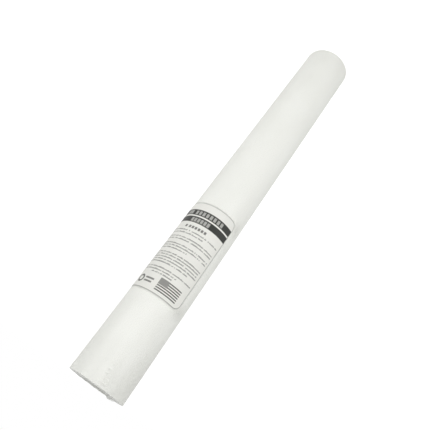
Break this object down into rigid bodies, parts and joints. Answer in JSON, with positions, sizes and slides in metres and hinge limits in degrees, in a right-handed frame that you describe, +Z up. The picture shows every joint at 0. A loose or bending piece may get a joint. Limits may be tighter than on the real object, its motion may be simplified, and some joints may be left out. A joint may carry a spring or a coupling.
{
  "type": "sediment filter cartridge",
  "caption": "Slim tubular depth filter of blown white fibre, open through its bore, in a clear shrunk sleeve gathered at one end, with a printed sticker on its side.",
  "frame": {"origin": "on the tube's axis, in the plane of the foot that the cartridge stands on", "axes": "+Z up the tube's axis towards its gathered end, -Y towards the middle of the sticker"},
  "size_m": [0.061, 0.061, 0.51],
  "materials": {
    "blown_fibre": "matt blown fibre",
    "clear_film": "clear, softly glossy",
    "printed_sticker": "satin paper with dark print"
  },
  "bodies": {
    "root": {"filter_element": "blown_fibre", "shrink_film": "clear_film", "label": "printed_sticker"}
  },
  "joints": []
}
